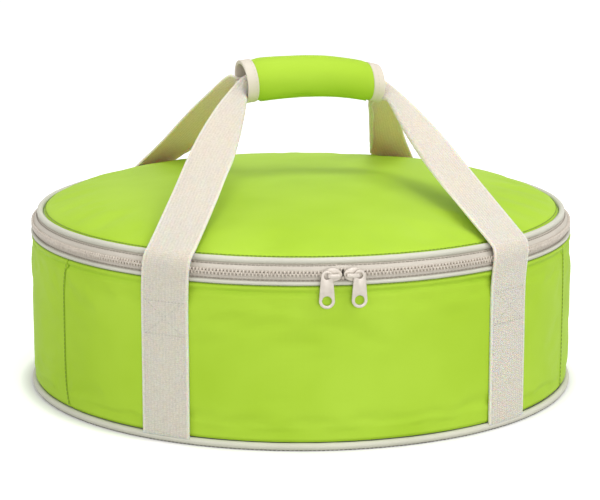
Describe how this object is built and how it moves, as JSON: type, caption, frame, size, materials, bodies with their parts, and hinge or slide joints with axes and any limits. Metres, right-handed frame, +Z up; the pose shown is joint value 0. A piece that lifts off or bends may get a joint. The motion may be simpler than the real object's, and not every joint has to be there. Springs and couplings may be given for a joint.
{
  "type": "pizza delivery bag",
  "caption": "Round padded pizza carrier with a zipped, softly domed lid, piped edges and webbing straps that meet over the lid in a wrapped grip.",
  "frame": {"origin": "middle of the base panel's underside, on the floor", "axes": "+Z up through the lid, -Y towards the front where the zip sliders meet, +X to the right seen from the front"},
  "size_m": [0.4038, 0.4084, 0.2406],
  "materials": {
    "green_fabric": "woven polyester with a slight sheen",
    "foil_lining": "foil-faced lining",
    "foam": "closed-cell foam",
    "stiffener_board": "plain board",
    "webbing": "ribbed webbing",
    "pale_piping": "fabric-covered cord",
    "zip_tape": "woven tape",
    "zip_teeth": "moulded teeth",
    "slider_metal": "satin paint over cast metal",
    "hinge_strip": "folded woven strip",
    "wrap_lining": "plain weave",
    "binding": "folded edge tape",
    "loop_tape": "brushed loops",
    "hook_tape": "hooks on a woven back"
  },
  "bodies": {
    "tub": {"base_panel": "green_fabric", "base_board": "stiffener_board", "base_foam": "foam", "base_lining": "foil_lining", "bottom_piping": "pale_piping", "wall_front_panel": "green_fabric", "wall_back_panel": "green_fabric", "wall_foam": "foam", "wall_lining": "foil_lining", "lower_zip_piping": "pale_piping", "zip_lower_tape": "zip_tape", "zip_lower_teeth": "zip_teeth", "zip_stop_left": "slider_metal", "zip_stop_right": "slider_metal", "back_hinge_lower": "hinge_strip", "front_left_leg": "webbing", "front_right_leg": "webbing", "rear_left_leg": "webbing", "rear_right_leg": "webbing"},
    "lid": {"zip_upper_tape": "zip_tape", "zip_upper_teeth": "zip_teeth", "back_hinge_upper": "hinge_strip", "lid_piping": "pale_piping", "lid_top_panel": "green_fabric", "lid_foam": "foam", "lid_lining": "foil_lining"},
    "front_strap": {"front_strap": "webbing", "grip_cover": "green_fabric", "grip_pad": "foam", "grip_lining": "wrap_lining", "grip_binding_left": "binding", "grip_binding_right": "binding", "loop_tape": "loop_tape"},
    "wrap_flap": {"flap_cover": "green_fabric", "flap_pad": "foam", "flap_lining": "wrap_lining", "flap_binding_left": "binding", "flap_binding_right": "binding", "hook_tape": "hook_tape"},
    "rear_strap": {"rear_strap": "webbing"},
    "left_slider": {"left_slider": "slider_metal"},
    "right_slider": {"right_slider": "slider_metal"},
    "left_puller": {"left_puller": "slider_metal"},
    "right_puller": {"right_puller": "slider_metal"}
  },
  "joints": [
    {"name": "lid_open", "type": "hinge", "parent": "tub", "child": "lid", "pos_m": [0, 0.198, 0.121], "axis": [-1, 0, 0], "range_deg": [0, 115], "deforming": ["front_strap", "rear_strap", "grip_cover", "grip_pad", "grip_lining", "grip_binding_left", "grip_binding_right", "loop_tape", "flap_cover", "flap_pad", "flap_lining", "flap_binding_left", "flap_binding_right", "hook_tape"]},
    {"name": "rear_strap_fold", "type": "hinge", "parent": "tub", "child": "rear_strap", "pos_m": [0, 0.1825, 0.10005], "axis": [-1, 0, 0], "range_deg": [0, 115]},
    {"name": "front_strap_fold", "type": "hinge", "parent": "tub", "child": "front_strap", "pos_m": [0, -0.1735, 0.10005], "axis": [1, 0, 0], "range_deg": [0, 160]},
    {"name": "wrap_flap_open", "type": "hinge", "parent": "front_strap", "child": "wrap_flap", "pos_m": [0.008, 0, 0.2409], "axis": [1, 0, 0], "range_deg": [0, 150]},
    {"name": "left_slider_run", "type": "hinge", "parent": "tub", "child": "left_slider", "pos_m": [0, 0, 0.121], "axis": [0, 0, -1], "range_deg": [0, 156]},
    {"name": "right_slider_run", "type": "hinge", "parent": "tub", "child": "right_slider", "pos_m": [0, 0, 0.121], "axis": [0, 0, 1], "range_deg": [0, 158]},
    {"name": "left_puller_swing", "type": "hinge", "parent": "left_slider", "child": "left_puller", "pos_m": [-0.01523, -0.20287, 0.121], "axis": [0.0542, 0.9985, 0], "range_deg": [-10, 100]},
    {"name": "right_puller_swing", "type": "hinge", "parent": "right_slider", "child": "right_puller", "pos_m": [0.00672, -0.20333, 0.121], "axis": [0.0124, -0.9999, 0], "range_deg": [-10, 100]}
  ],
  "couplings": [
    {"joint": "rear_strap_fold", "follows": "lid_open", "ratio": 1}
  ]
}
